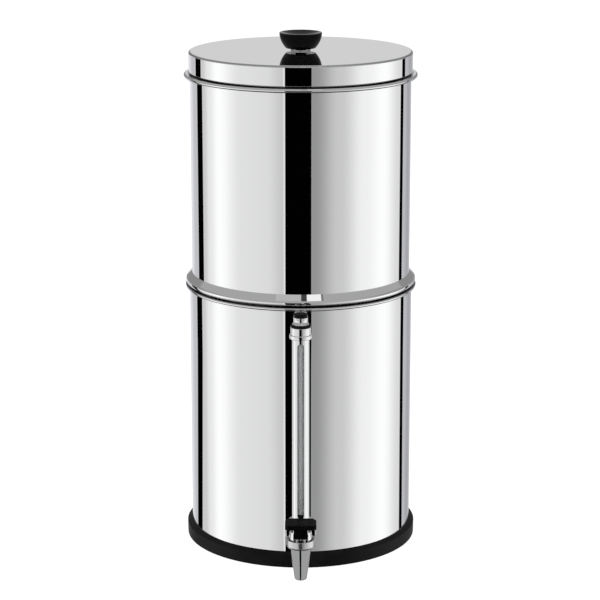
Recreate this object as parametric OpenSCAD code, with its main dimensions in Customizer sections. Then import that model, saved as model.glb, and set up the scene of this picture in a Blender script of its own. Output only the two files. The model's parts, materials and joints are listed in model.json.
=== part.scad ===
// Gravity water filter: two stacked steel chambers, a lid with a knob,
// a sight glass in a slotted guard tube and a self-closing lever tap.
// Millimetres, +Z up, -Y is the front with the tap. The origin is the
// centre of the base, on the table.

/* [Chambers] */
// Outer diameter of the lower chamber
lower_d = 216; // [200:1:232]
// Height of the lower chamber's rim above the table
lower_rim_z = 255.6; // [240:0.1:290]
// Height of the upper chamber from its support bead to the top of its rim
upper_h = 204.3; // [190:0.1:240]
// Thickness of the steel sheet
sheet_t = 0.8; // [0.6:0.1:1.3]
// Outside radius of the corner between a chamber's wall and its floor
corner_r = 6; // [4:0.5:9]
// Radial gap between the upper chamber's skirt and the lower wall
nest_gap = 1.5; // [0.6:0.1:2.5]
// How far the upper chamber's skirt reaches into the lower chamber
nest_depth = 19.5; // [14:0.5:26]
// Height of the flattened roll on the lower chamber's rim
lower_bead_d = 3.4; // [3:0.1:4.5]
// Width of that roll, from the inside of the wall
lower_bead_w = 5; // [4.6:0.1:7]
// Height of the flattened roll on the upper chamber's rim
upper_bead_d = 3.8; // [3:0.1:4.5]
// Width of that roll, from the inside of the wall
upper_bead_w = 6.8; // [5.5:0.1:8]
// How far the support bead stands out from the upper wall
support_reach = 6.1; // [5:0.1:7]
// Radius of the support bead's rolled edge
support_curl_r = 3.6; // [2.2:0.1:4]
// Height left between parts that lift off each other
lift_gap = 0.3; // [0.2:0.05:0.5]

/* [Base ring] */
// Height of the rubber ring around the foot of the lower chamber
ring_h = 14.9; // [11:0.1:20]
// Thickness of the ring outside the chamber wall at its top
ring_t = 4.7; // [3:0.1:8]
// How much the ring's top drops from the wall to its outer edge
ring_slope = 2; // [0:0.1:3]
// How much narrower the ring's radius is at the table than at its top
ring_taper = 0.2; // [0:0.1:2]
// Thickness of the lip under the chamber
ring_lip_t = 2.5; // [2:0.1:4]
// How far the lip reaches in under the chamber
ring_lip_w = 12; // [8:0.5:20]
// Slip clearance between the ring and the chamber wall
ring_gap = 0.05; // [0.02:0.01:0.1]

/* [Lid] */
// How far the lid's skirt stands out over the upper chamber's mouth
lid_step = 2.1; // [1.5:0.1:3]
// Height of the lid's skirt
lid_h = 19.3; // [14:0.1:26]
// Radius of the lid's top edge
lid_edge_r = 2; // [1.5:0.1:3]
// Height of the groove between the skirt and the upper chamber's rim
lid_groove_h = 1.8; // [1.2:0.1:3]
// Depth of that groove
lid_groove_d = 1.6; // [1:0.1:2]
// Depth of the lip that sits inside the mouth
lip_depth = 7.5; // [7:0.1:14]
// Radial gap between the lip and the mouth
lip_gap = 0.5; // [0.3:0.1:1]

/* [Knob] */
// Largest diameter of the knob
knob_d = 40.7; // [36:0.1:46]
// Height of the knob's bowl
knob_h = 15.3; // [13:0.1:20]
// Diameter of the knob's flat underside
knob_foot_d = 29.2; // [22:0.1:32]
// Radius of the curve of the bowl's side
knob_side_r = 22; // [18:1:60]
// Depth of the dish in the knob's top
dish_depth = 3.5; // [2:0.1:5]
// Width of the rim around the dish
dish_rim_w = 2.4; // [1.5:0.1:4]
// Diameter of the knob's neck
neck_d = 10; // [8:0.1:14]
// Height of the knob's neck
neck_h = 0.8; // [0.5:0.1:4]
// Diameter of the washer under the knob
washer_d = 19; // [15:0.1:22]
// Thickness of the washer under the knob
washer_t = 1.2; // [1:0.1:2.5]
// Diameter of the knob's screw
screw_d = 5; // [4:0.1:6]
// Length of the knob's screw under its head
screw_l = 11.5; // [10:0.5:12]

/* [Filters] */
// Distance of the four floor holes from the centre
hole_pitch_r = 50; // [46:0.5:54]
// Diameter of a filter element's carbon body
media_d = 60; // [50:0.5:66]
// Length of the carbon body
media_h = 150; // [120:1:160]
// Diameter of the bore up the middle of the carbon body
media_bore_d = 24; // [16:0.5:30]
// Wall of the end caps around the carbon body
cap_wall = 1.8; // [1.2:0.1:2.5]
// Height of each end cap
cap_h = 10; // [7:0.5:14]
// Diameter of the threaded stems through the floor
stem_d = 12.4; // [10:0.1:14]
// Length of a filter's stem below the upper chamber's floor
stem_drop = 26; // [20:0.5:32]
// Diameter of the water way in a filter's stem
stem_bore_d = 6; // [4:0.1:7]
// Diameter of the sealing washers on the floor
seal_d = 28; // [24:0.5:32]
// Thickness of the sealing washers on the floor
seal_t = 2.5; // [1.5:0.1:4]
// Diameter of the head of a blocking plug
plug_head_d = 27; // [24:0.5:32]
// Height of the head of a blocking plug
plug_head_h = 4; // [3:0.1:6]
// Length of a blocking plug's stem below the floor
plug_drop = 17; // [14:0.5:20]
// Diameter of a wing nut's hub
wing_hub_d = 19; // [17:0.5:22]
// Height of a wing nut
wing_h = 11; // [8:0.5:13]
// Span of a wing nut's wings
wing_span = 34; // [28:0.5:38]
// Thickness of a wing
wing_t = 3; // [2:0.1:4]

/* [Sight glass] */
// Distance of the sight glass axis from the chamber wall
gauge_reach = 21; // [19:0.5:26]
// Outer diameter of the guard tube
guard_d = 16; // [15:0.1:18]
// Wall of the guard tube
guard_wall = 1.2; // [0.8:0.1:1.4]
// Height of the guard tube's top end above the table
guard_top_z = 238.5; // [200:0.5:240]
// Width of the slot in the guard tube
slot_w = 6.1; // [5:0.1:7]
// Height of the slot's lower end
slot_z0 = 57.5; // [56:0.5:80]
// Height of the slot's upper end
slot_z1 = 227.5; // [180:0.5:228]
// Outer diameter of the clear tube
glass_d = 12; // [11:0.1:12.6]
// Wall of the clear tube
glass_wall = 1.5; // [1:0.1:2]
// Diameter of the collar's flange
flange_d = 20.8; // [19.5:0.1:24]
// Height of the collar's flange
flange_h = 3.6; // [2.5:0.1:5]
// Diameter of the collar's ring
collar_d = 18.8; // [18:0.1:20]
// Height of the collar's ring
collar_h = 7.2; // [6:0.1:9]
// Diameter of the black gasket on the collar
gasket_d = 18.4; // [16:0.1:18.6]
// Thickness of the black gasket
gasket_t = 2.4; // [1:0.1:2.5]
// Diameter of the vent spool at its foot
spool_foot_d = 15.4; // [14:0.1:16]
// Diameter of the vent spool at its waist
spool_waist_d = 12.4; // [12:0.1:13]
// Diameter of the vent spool at its top
spool_top_d = 13.4; // [12.6:0.1:15]
// Height of the vent spool
spool_h = 6.8; // [6:0.1:10]
// Diameter of the vent plug's head
vent_d = 12.4; // [11:0.1:12.6]
// Height of the vent plug's head
vent_h = 3.6; // [1.5:0.1:4]

/* [Tee] */
// Height of the tap's inlet and the hole in the lower chamber
inlet_z = 36; // [34:0.5:44]
// Diameter of the threaded shank through the chamber wall
shank_d = 15.8; // [14:0.1:16.5]
// Length of the shank inside the chamber wall
shank_in = 17; // [14:0.5:22]
// Diameter of the tee's body
tee_d = 19; // [18.6:0.1:21]
// Diameter of the tee's flange
tee_flange_d = 28; // [25:0.5:30]
// Thickness of the tee's flange
tee_flange_t = 2.5; // [2:0.1:3.5]
// Diameter of the washers on the chamber wall
wall_seal_d = 30; // [26:0.5:32]
// Thickness of the washers at the middle of the chamber wall
wall_seal_t = 2; // [1.5:0.1:3]
// Diameter of the water ways
way_d = 9; // [7:0.1:9.6]
// Width across the flats of the lock nut inside the chamber
lock_nut_af = 24; // [21:0.5:28]
// Thickness of the lock nut
lock_nut_t = 6; // [4:0.5:8]
// Height of the tee's top end above the inlet axis
tee_rise = 17; // [15:0.5:20]
// Outer diameter of the gland nut around the foot of the guard tube
gland_d = 22.6; // [21.4:0.1:26]
// Height of the gland nut
gland_h = 10; // [8:0.5:16]
// How far the gland nut stands above the tee's top end
gland_rise = 2.4; // [1.5:0.1:8]

/* [Tap] */
// Distance of the tap's axis from the sight glass axis
tap_reach = 36; // [34:0.5:42]
// Height of the nozzle's tip above the table
tip_z = 9.2; // [6:0.1:12]
// Outer diameter of the nozzle's tip
tip_d = 11.6; // [10:0.1:13]
// Outer diameter of the nozzle under the cup
nozzle_d = 20.4; // [19.6:0.1:22]
// Outer diameter of the cup
cup_d = 26.8; // [26.6:0.1:30]
// Height of the cup
cup_h = 8.3; // [7.8:0.1:10]
// Radius of the cup's lower edge
cup_edge_r = 2.5; // [1:0.1:3]
// Height of the cup's rim above the inlet axis
cup_rise = 13; // [12.6:0.1:14]
// Diameter of the outlet bore
outlet_d = 7.2; // [5:0.1:7.6]
// Diameter of the chamber that the seat cup moves in
valve_d = 13.2; // [13:0.1:13.8]
// Depth of the valve seat below the inlet axis
seat_drop = 7; // [6:0.1:8]
// Diameter of the threaded inlet
inlet_d = 13; // [12:0.1:14]
// Diameter of the tap's neck behind the cup
tap_neck_d = 15; // [14:0.1:17]
// Width across the flats of the nut that locks the tap
jam_nut_af = 19; // [17:0.5:22]
// Thickness of the nut that locks the tap
jam_nut_t = 4.5; // [3:0.1:5]
// Thickness of the washer between the tap and the tee
tap_seal_t = 1.8; // [1.2:0.1:2.5]

/* [Valve and lever] */
// Thickness of the seat cup's clamped rim
rim_t = 1.3; // [1:0.1:1.6]
// Wall of the cup in which the bonnet is screwed
cup_wall = 1.05; // [0.9:0.05:1.3]
// Height of the bonnet's threaded flange
bonnet_flange_h = 3; // [2.5:0.1:3.5]
// Diameter of the bonnet's dome where it leaves the flange
dome_d = 22.4; // [21.6:0.1:23]
// Diameter of the dome's flat top
dome_top_d = 19.6; // [19:0.1:20.6]
// Height of the dome above the flange
dome_h = 10; // [9:0.1:11]
// Width of the lever's neck
lever_neck_w = 13; // [12:0.1:13.4]
// Gap on each side of the lever's neck
lever_gap = 0.45; // [0.3:0.05:0.6]
// Distance of the lever's pin in front of the valve stem
pin_offset = 3.5; // [3:0.1:3.8]
// Height of the lever's pin above the tap's inlet axis
pin_rise = 17; // [16.6:0.1:17.4]
// Diameter of the lever's pin
pin_d = 2; // [1.6:0.1:2.2]
// Length of the lever's pin
pin_l = 18; // [17:0.1:18.4]
// Diameter of the valve stem
valve_stem_d = 3.5; // [3:0.1:3.8]
// Largest width of the lever's paddle
paddle_w = 29; // [26:0.1:32]
// Width of the paddle's rear edge
paddle_rear_w = 22.8; // [18:0.1:26]
// Distance of the paddle's rear edge behind the tap's axis
paddle_rear = 9.6; // [8:0.1:12]
// Distance of the paddle's front edge before the tap's axis
paddle_front = 11.6; // [9:0.1:15]
// Thickness of the paddle
paddle_t = 4.8; // [3:0.1:6]
// Height of the paddle's underside above the pin
paddle_rise = 7.4; // [7:0.1:9]

/* [Hidden] */
$fn = 96;
// Segments of the chamber's curve where a thin washer follows it
wall_fn = 480;

// How far a cutting shape passes the face that it cuts
over = 1;
// Slip clearance on a radius between pieces that are fixed together
slip = 0.05;
// Play on a radius around the shank and the knob's screw in the sheet
sheet_play = 0.2;
// Play on a radius around the stems in the upper chamber's floor
stem_play = 0.4;

lower_r = lower_d / 2;
lower_inner_r = lower_r - sheet_t;
lower_bead_r = lower_bead_d / 2;
lower_bead_z = lower_rim_z - lower_bead_r;
upper_r = lower_inner_r - nest_gap;
upper_inner_r = upper_r - sheet_t;
shelf_z = lower_rim_z + lift_gap;
upper_floor_z = shelf_z - nest_depth;
upper_floor_top_z = upper_floor_z + sheet_t;
upper_bead_r = upper_bead_d / 2;
upper_bead_z = shelf_z + upper_h - upper_bead_r;

// The lid rests on the inner slope of the upper rim, with a groove between its skirt and the rim
lid_r = upper_inner_r + lid_step;
lid_neck_r = lid_r - lid_groove_d;
lid_rest_in = upper_inner_r + upper_bead_r - lid_neck_r;
lid_rest_z = upper_bead_z + sqrt(pow(upper_bead_r, 2) - pow(lid_rest_in, 2)) + lift_gap;
lid_z0 = lid_rest_z + lid_groove_h;
lid_top_z = lid_z0 + lid_h;
lip_r = upper_inner_r - lip_gap;
knob_neck_z = lid_top_z + washer_t;
knob_foot_z = knob_neck_z + neck_h;
knob_top_z = knob_foot_z + knob_h;
screw_hole_r = screw_d / 2 + sheet_play;

filter_foot_z = upper_floor_top_z + seal_t;
cap_r = media_d / 2 + cap_wall;
cap_floor_t = 2.5;
media_z0 = filter_foot_z + cap_floor_t;
media_z1 = media_z0 + media_h;
floor_hole_r = stem_d / 2 + stem_play;

gauge_y = -(lower_r + gauge_reach);
guard_r = guard_d / 2;
guard_inner_r = guard_r - guard_wall;
glass_r = glass_d / 2;
tee_top_z = inlet_z + tee_rise;
// Depth and extra radius of the socket for the clear tube in the tee's top
glass_socket_h = 8;
glass_socket_r = guard_inner_r + 0.6;
socket_floor_z = tee_top_z - glass_socket_h;
// Gap over the clear tube's top end, and over the lower seal
glass_end_gap = 0.6;
seal_end_gap = 0.4;
upper_seal_h = 5;
glass_z1 = guard_top_z - glass_end_gap;
gland_top_z = tee_top_z + gland_rise;
collar_seat_t = 3.8;
collar_top_z = guard_top_z + collar_seat_t;
flange_z0 = collar_top_z - collar_h - flange_h;
spool_z0 = collar_top_z + gasket_t;
spool_z1 = spool_z0 + spool_h;
vent_stem_r = 2.4;
// The plug's head reaches past its stem, which sits in a blind socket
vent_overhang = 1.7;
vent_socket_h = 4.5;
vent_stem_h = 4.3;

// The tee's rear flange presses the outer washer against the wall
tee_flange_y = -(lower_r + wall_seal_t);
// The tee's front face before the sight glass axis, and its foot below the inlet axis
tee_front = 14;
tee_foot = 12;
tee_front_y = gauge_y - tee_front;
shank_end_y = -(lower_inner_r - shank_in);
lock_nut_y = -(lower_inner_r - wall_seal_t);

tap_y = gauge_y - tap_reach;
cup_z1 = inlet_z + cup_rise;
cup_z0 = cup_z1 - cup_h;
seat_z = inlet_z - seat_drop;
tap_seal_r = tee_d / 2 - 0.5;
jam_nut_y = tee_front_y - tap_seal_t - jam_nut_t;
// How far the tap's inlet reaches into the tee, and the depth of its socket
inlet_l = 9;
socket_depth = 10;
inlet_end_y = tee_front_y + inlet_l;
// Floor left in the cup under the seat cup's rim
cup_floor_t = 1.5;
rim_z = cup_z0 + cup_floor_t;
bonnet_z0 = rim_z + rim_t;
bonnet_r = cup_d / 2 - cup_wall - slip;
dome_z0 = bonnet_z0 + bonnet_flange_h;
// Floor left under the lever between the bonnet's ears
ear_floor_t = 1.1;
ear_floor_z = dome_z0 + ear_floor_t;
ear_slot_w = lever_neck_w + 2 * lever_gap;
pin_y = tap_y - pin_offset;
pin_z = inlet_z + pin_rise;

// The lever's two hook bars lift the crosshead of the stem
hook_r = 0.8;
hook_gap = 0.15;
pocket_w = 9.2;
crosshead_gap = 0.3;
crosshead_w = pocket_w - 2 * crosshead_gap;
crosshead_t = 1.7;
crosshead_depth = 2.6;
crosshead_z = pin_z + hook_r + hook_gap;
knuckle_r = 3;
knuckle_t = 2;
knuckle_z = seat_z + 1.8;
// The seat cup is solid up to here and a bell above
bell_z = seat_z + 6;
// Running clearance of the stem in the bonnet and of the lever's pin in its ears
stem_guide_gap = 0.1;
pin_gap = 0.02;

steel = [0.82, 0.83, 0.85];
black = [0.08, 0.08, 0.09];
silicone = [0.75, 0.75, 0.72];

// Points along an arc from angle a0 to a1
function arc(x, z, r, a0, a1, n = 8) =
    [for (i = [0:n]) let (a = a0 + (a1 - a0) * i / n) [x + r * cos(a), z + r * sin(a)]];

// Half section of a filled cup with a round lower corner
module cup_section(r, h, corner) {
    translate([0, corner]) square([r, h - corner]);
    square([r - corner, h]);
    translate([r - corner, corner]) circle(corner);
}

// Cylinder along Y from y0 to y1 at the height of the inlet
module along_y(r, y0, y1) {
    translate([0, y1, inlet_z]) rotate([90, 0, 0]) cylinder(r = r, h = y1 - y0);
}

// Six-sided nut along Y from y0 to y1
module hex_along_y(af, y0, y1) {
    translate([0, y1, inlet_z]) rotate([90, 0, 0]) cylinder(r = af / 2 / cos(30), h = y1 - y0, $fn = 6);
}

// Ring from height z0 to z1
module tube(r_out, r_in, z0, z1) {
    difference() {
        translate([0, 0, z0]) cylinder(r = r_out, h = z1 - z0);
        translate([0, 0, z0 - over]) cylinder(r = r_in, h = z1 - z0 + 2 * over);
    }
}

// Copies on the left and right filter holes, or on the front and rear plug holes
module at_filters() for (side = [-1, 1]) translate([side * hole_pitch_r, 0, 0]) children();
module at_plugs() for (side = [-1, 1]) translate([0, side * hole_pitch_r, 0]) children();

module base_ring() {
    wall_r = lower_r + ring_gap;
    edge = 0.8;
    top_r = wall_r + ring_t;
    foot_r = top_r - ring_taper;
    color(black) rotate_extrude() polygon(concat(
        [[lower_r - ring_lip_w, 0]],
        arc(foot_r - edge, edge, edge, -90, 0),
        arc(top_r - edge, ring_h - ring_slope - edge, edge, 0, 90 - atan(ring_slope / ring_t)),
        [[wall_r, ring_h], [wall_r, ring_lip_t], [lower_r - ring_lip_w, ring_lip_t]]
    ));
}

// Half section of a flattened roll of height d and width w, from the inside of the wall
module rim_section(inner_r, z, d, w) {
    translate([inner_r + d / 2, z]) circle(d / 2);
    translate([inner_r + w - d / 2, z]) circle(d / 2);
    translate([inner_r + d / 2, z - d / 2]) square([w - d, d]);
}

module lower_chamber() {
    h = lower_bead_z - ring_lip_t;
    color(steel) difference() {
        rotate_extrude() {
            difference() {
                translate([0, ring_lip_t]) cup_section(lower_r, h, corner_r);
                translate([0, ring_lip_t + sheet_t]) cup_section(lower_inner_r, h, corner_r - sheet_t);
            }
            rim_section(lower_inner_r, lower_bead_z, lower_bead_d, lower_bead_w);
        }
        along_y(shank_d / 2 + sheet_play, -lower_r - over, -lower_r + 2 * sheet_t + over);
    }
}

// Half section of the rolled support bead, or of the hollow inside it when inset is the sheet
module support_section(inset) {
    r = support_curl_r - inset;
    mid = [upper_r + support_reach - support_curl_r, shelf_z + support_curl_r];
    tangent = mid + r * [cos(45), sin(45)];
    wall = upper_r - inset;
    base = wall - sheet_t / 2;
    top = tangent[1] + tangent[0] - wall;
    translate(mid) circle(r);
    polygon([[base, mid[1] - r], [mid[0], mid[1] - r], mid, tangent, [wall, top], [base, top]]);
}

module upper_chamber() {
    h = upper_bead_z - upper_floor_z;
    color(steel) difference() {
        rotate_extrude() {
            difference() {
                union() {
                    translate([0, upper_floor_z]) cup_section(upper_r, h, corner_r);
                    support_section(0);
                }
                translate([0, upper_floor_top_z]) cup_section(upper_inner_r, h, corner_r - sheet_t);
                support_section(sheet_t);
            }
            rim_section(upper_inner_r, upper_bead_z, upper_bead_d, upper_bead_w);
        }
        translate([0, 0, upper_floor_z - over]) {
            at_filters() cylinder(r = floor_hole_r, h = sheet_t + 2 * over);
            at_plugs() cylinder(r = floor_hole_r, h = sheet_t + 2 * over);
        }
    }
}

module lid() {
    foot = 0.6;
    color(steel) rotate_extrude() difference() {
        union() {
            translate([0, lid_top_z]) mirror([0, 1]) cup_section(lid_r, lid_h - foot, lid_edge_r);
            translate([0, lid_z0]) cup_section(lid_r, 2 * foot, foot);
            translate([0, lid_rest_z]) square([lid_neck_r, lid_groove_h + foot]);
            translate([0, lid_rest_z - lip_depth]) square([lip_r, lip_depth + foot]);
        }
        translate([0, lid_top_z - sheet_t]) mirror([0, 1])
            cup_section(lid_r - sheet_t, lid_h - 2 * sheet_t, lid_edge_r - sheet_t);
        translate([0, lid_rest_z - lip_depth - over]) square([lip_r - sheet_t, lip_depth + lid_h / 2]);
        translate([0, lid_top_z - 2 * sheet_t]) square([screw_hole_r, 3 * sheet_t]);
    }
}

module knob() {
    rim_r = knob_d / 2;
    edge = 0.7;
    // The bowl's side is an arc from its foot to its rim
    foot = [knob_foot_d / 2, knob_foot_z];
    rim = [rim_r, knob_top_z - 2.5 * edge];
    half = norm(rim - foot) / 2;
    side = (rim - foot) / (2 * half);
    mid = (rim + foot) / 2 + sqrt(pow(knob_side_r, 2) - pow(half, 2)) * [-side[1], side[0]];
    foot_a = atan2(foot[1] - mid[1], foot[0] - mid[0]);
    rim_a = atan2(rim[1] - mid[1], rim[0] - mid[0]);
    dish_r = rim_r - dish_rim_w;
    dish_R = (pow(dish_r, 2) + pow(dish_depth, 2)) / (2 * dish_depth);
    dish_a = asin(dish_r / dish_R);
    color(black) difference() {
        rotate_extrude() polygon(concat(
            [[0, knob_neck_z], [neck_d / 2, knob_neck_z], [neck_d / 2, knob_foot_z]],
            arc(mid[0], mid[1], knob_side_r, foot_a, rim_a),
            arc(rim_r - edge, knob_top_z - edge, edge, 0, 90, 4),
            arc(0, knob_top_z - dish_depth + dish_R, dish_R, -90 + dish_a, -90, 12)
        ));
        translate([0, 0, knob_neck_z - over]) cylinder(r = screw_d / 2 + slip, h = screw_l);
    }
}

module knob_washer() {
    color(steel) tube(washer_d / 2, screw_hole_r, lid_top_z, knob_neck_z);
}

module knob_screw() {
    head_z = lid_top_z - sheet_t;
    head_r = 4.5;
    head_h = 3;
    socket_r = 1.5;
    socket_h = 2;
    color(steel) difference() {
        union() {
            translate([0, 0, head_z]) cylinder(r = screw_d / 2, h = screw_l);
            translate([0, 0, head_z - head_h]) cylinder(r = head_r, h = head_h);
        }
        translate([0, 0, head_z - head_h - over]) cylinder(r = socket_r, h = socket_h + over, $fn = 6);
    }
}

// Tube of pressed carbon between its end caps
module filter_media() {
    color(black) tube(media_d / 2, media_bore_d / 2, media_z0, media_z1);
}

module filter_top_cap() {
    color([0.15, 0.15, 0.16]) difference() {
        translate([0, 0, media_z1 + cap_floor_t]) mirror([0, 0, 1]) rotate_extrude()
            cup_section(cap_r, cap_h + cap_floor_t, 1.5);
        translate([0, 0, media_z1 - cap_h - over]) cylinder(r = media_d / 2 + slip, h = cap_h + over);
    }
}

module filter_base() {
    color([0.15, 0.15, 0.16]) difference() {
        union() {
            translate([0, 0, filter_foot_z]) rotate_extrude() cup_section(cap_r, cap_h + cap_floor_t, 1.5);
            translate([0, 0, upper_floor_z - stem_drop])
                cylinder(r = stem_d / 2, h = filter_foot_z - upper_floor_z + stem_drop + over);
        }
        translate([0, 0, media_z0]) cylinder(r = media_d / 2 + slip, h = cap_h + over);
        translate([0, 0, upper_floor_z - stem_drop - over])
            cylinder(r = stem_bore_d / 2, h = media_z0 - upper_floor_z + stem_drop + 2 * over);
    }
}

module filter_seals() {
    color(silicone) at_filters() tube(seal_d / 2, stem_d / 2 + slip, upper_floor_top_z, filter_foot_z);
}

module wing_nut() {
    z0 = upper_floor_z - wing_h;
    color([0.9, 0.9, 0.88]) difference() {
        union() {
            translate([0, 0, z0]) cylinder(r = wing_hub_d / 2, h = wing_h);
            translate([-wing_span / 2, -wing_t / 2, z0 + wing_h * 0.2])
                cube([wing_span, wing_t, wing_h * 0.8]);
        }
        translate([0, 0, z0 - over]) cylinder(r = stem_d / 2 + slip, h = wing_h + 2 * over);
    }
}

module hole_plugs() {
    color([0.2, 0.2, 0.21]) at_plugs() {
        translate([0, 0, filter_foot_z]) cylinder(r = plug_head_d / 2, h = plug_head_h);
        translate([0, 0, upper_floor_z - plug_drop])
            cylinder(r = stem_d / 2, h = filter_foot_z - upper_floor_z + plug_drop + over);
    }
}

module plug_seals() {
    color(silicone) at_plugs() tube(seal_d / 2, stem_d / 2 + slip, upper_floor_top_z, filter_foot_z);
}

module tee() {
    color(steel) difference() {
        union() {
            translate([0, gauge_y, inlet_z - tee_foot]) cylinder(r = tee_d / 2, h = tee_rise + tee_foot);
            along_y(tee_d / 2, tee_front_y, tee_flange_y - over);
            along_y(tee_flange_d / 2, tee_flange_y - tee_flange_t, tee_flange_y);
            along_y(shank_d / 2, tee_flange_y - over, shank_end_y);
        }
        along_y(way_d / 2, tee_front_y - over, shank_end_y + over);
        along_y(inlet_d / 2 + slip, tee_front_y - over, tee_front_y + socket_depth);
        translate([0, gauge_y, inlet_z]) cylinder(r = way_d / 2, h = tee_rise + over);
        translate([0, gauge_y, socket_floor_z]) cylinder(r = glass_socket_r, h = glass_socket_h + over);
    }
}

module outer_wall_seal() {
    color(silicone) difference() {
        along_y(wall_seal_d / 2, tee_flange_y, -lower_r + wall_seal_d / 4);
        translate([0, 0, inlet_z - wall_seal_d])
            cylinder(r = lower_r + slip, h = 2 * wall_seal_d, $fn = wall_fn);
        along_y(shank_d / 2 + slip, tee_flange_y - over, -lower_r + wall_seal_d / 4 + over);
    }
}

module inner_wall_seal() {
    color(silicone) difference() {
        intersection() {
            along_y(wall_seal_d / 2, -lower_r, lock_nut_y);
            translate([0, 0, inlet_z - wall_seal_d])
                cylinder(r = lower_inner_r - slip, h = 2 * wall_seal_d, $fn = wall_fn);
        }
        along_y(shank_d / 2 + slip, -lower_r - over, lock_nut_y + over);
    }
}

module lock_nut() {
    color(steel) difference() {
        hex_along_y(lock_nut_af, lock_nut_y, lock_nut_y + lock_nut_t);
        along_y(shank_d / 2 + slip, lock_nut_y - over, lock_nut_y + lock_nut_t + over);
    }
}

module gland_nut() {
    color(steel) translate([0, gauge_y, 0]) difference() {
        translate([0, 0, gland_top_z]) mirror([0, 0, 1]) rotate_extrude()
            cup_section(gland_d / 2, gland_h, 1);
        translate([0, 0, gland_top_z - gland_h - over]) cylinder(r = tee_d / 2 + slip,
            h = gland_h - gland_rise + over);
        cylinder(r = guard_r + slip, h = gland_top_z + over);
    }
}

module lower_glass_seal() {
    color(silicone) translate([0, gauge_y, 0])
        tube(glass_socket_r - slip, glass_r + slip, socket_floor_z, tee_top_z - seal_end_gap);
}

module guard_tube() {
    front = gauge_y - guard_r - over;
    r = slot_w / 2;
    color(steel) difference() {
        translate([0, gauge_y, 0]) tube(guard_r, guard_inner_r, tee_top_z, guard_top_z);
        translate([0, front, slot_z0 + r]) rotate([-90, 0, 0]) cylinder(r = r, h = guard_r);
        translate([0, front, slot_z1 - r]) rotate([-90, 0, 0]) cylinder(r = r, h = guard_r);
        translate([-r, front, slot_z0 + r]) cube([slot_w, guard_r, slot_z1 - slot_z0 - slot_w]);
    }
}

module glass_tube() {
    color([0.85, 0.9, 0.92, 0.35]) translate([0, gauge_y, 0])
        tube(glass_r, glass_r - glass_wall, socket_floor_z, glass_z1);
}

module upper_glass_seal() {
    color(silicone) translate([0, gauge_y, 0])
        tube(guard_inner_r - slip, glass_r + slip, glass_z1 - upper_seal_h, glass_z1);
}

module top_collar() {
    color(steel) translate([0, gauge_y, 0]) difference() {
        union() {
            translate([0, 0, flange_z0]) cylinder(r = flange_d / 2, h = flange_h);
            translate([0, 0, flange_z0]) cylinder(r = collar_d / 2, h = flange_h + collar_h);
        }
        translate([0, 0, flange_z0 - over]) cylinder(r = guard_r + slip, h = guard_top_z - flange_z0 + over);
        cylinder(r = vent_stem_r + slip, h = collar_top_z + over);
    }
}

module gasket() {
    color(black) translate([0, gauge_y, 0])
        tube(gasket_d / 2, vent_stem_r + slip, collar_top_z, spool_z0);
}

// The waist is an arc through the foot, the waist and the top
module vent_spool() {
    waist_z = spool_z0 + spool_h * 0.45;
    sweep = 5;
    flare = spool_h * 0.45;
    foot_r = spool_foot_d / 2;
    top_r = spool_top_d / 2;
    waist_r = spool_waist_d / 2;
    lower = [for (i = [0:sweep]) let (u = i / sweep)
        [waist_r + (foot_r - waist_r) * pow(1 - u, 2), spool_z0 + 0.6 + (flare - 0.6) * u]];
    upper = [for (i = [1:sweep]) let (u = i / sweep)
        [waist_r + (top_r - waist_r) * pow(u, 2), waist_z + (spool_z1 - 0.5 - waist_z) * u]];
    color(steel) translate([0, gauge_y, 0]) difference() {
        union() {
            rotate_extrude() polygon(concat([[0, spool_z0], [foot_r, spool_z0]], lower, upper,
                [[top_r, spool_z1], [0, spool_z1]]));
            translate([0, 0, guard_top_z + 0.5]) cylinder(r = vent_stem_r, h = spool_z0 - guard_top_z);
        }
        translate([0, 0, guard_top_z]) cylinder(r = 1.2, h = spool_z1 - guard_top_z);
        translate([0, 0, spool_z1 - vent_socket_h])
            cylinder(r = vent_d / 2 - vent_overhang, h = vent_socket_h + over);
    }
}

module vent_plug() {
    stem_r = vent_d / 2 - vent_overhang - slip;
    edge = 1.4;
    color(black) translate([0, gauge_y, 0]) union() {
        translate([0, 0, spool_z1 - vent_stem_h]) cylinder(r = stem_r, h = vent_stem_h + over);
        rotate_extrude() polygon(concat([[0, spool_z1], [vent_d / 2, spool_z1]],
            arc(vent_d / 2 - edge, spool_z1 + vent_h - edge, edge, 0, 90, 5), [[0, spool_z1 + vent_h]]));
    }
}

module tap_body() {
    tip_edge = 1;
    tip_r = tip_d / 2;
    color(steel) difference() {
        union() {
            translate([0, tap_y, 0]) rotate_extrude() {
                polygon(concat([[0, tip_z]], arc(tip_r - tip_edge, tip_z + tip_edge, tip_edge, -90, 0, 4),
                    [[nozzle_d / 2, cup_z0 + over], [0, cup_z0 + over]]));
                translate([0, cup_z0]) cup_section(cup_d / 2, cup_h, cup_edge_r);
            }
            along_y(tap_neck_d / 2, tap_y, jam_nut_y);
            along_y(inlet_d / 2, tap_y, inlet_end_y);
        }
        translate([0, tap_y, 0]) {
            cylinder(r = outlet_d / 2, h = seat_z + over);
            translate([0, 0, seat_z]) cylinder(r = valve_d / 2, h = cup_h + cup_rise + seat_drop);
            translate([0, 0, rim_z]) cylinder(r = cup_d / 2 - cup_wall, h = cup_h);
        }
        along_y(outlet_d / 2, tap_y, inlet_end_y + over);
    }
}

module tap_seal() {
    color(silicone) difference() {
        along_y(tap_seal_r, tee_front_y - tap_seal_t, tee_front_y);
        along_y(inlet_d / 2 + slip, tee_front_y - tap_seal_t - over, tee_front_y + over);
    }
}

module jam_nut() {
    color(steel) difference() {
        hex_along_y(jam_nut_af, jam_nut_y, jam_nut_y + jam_nut_t);
        along_y(inlet_d / 2 + slip, jam_nut_y - over, jam_nut_y + jam_nut_t + over);
    }
}

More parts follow.
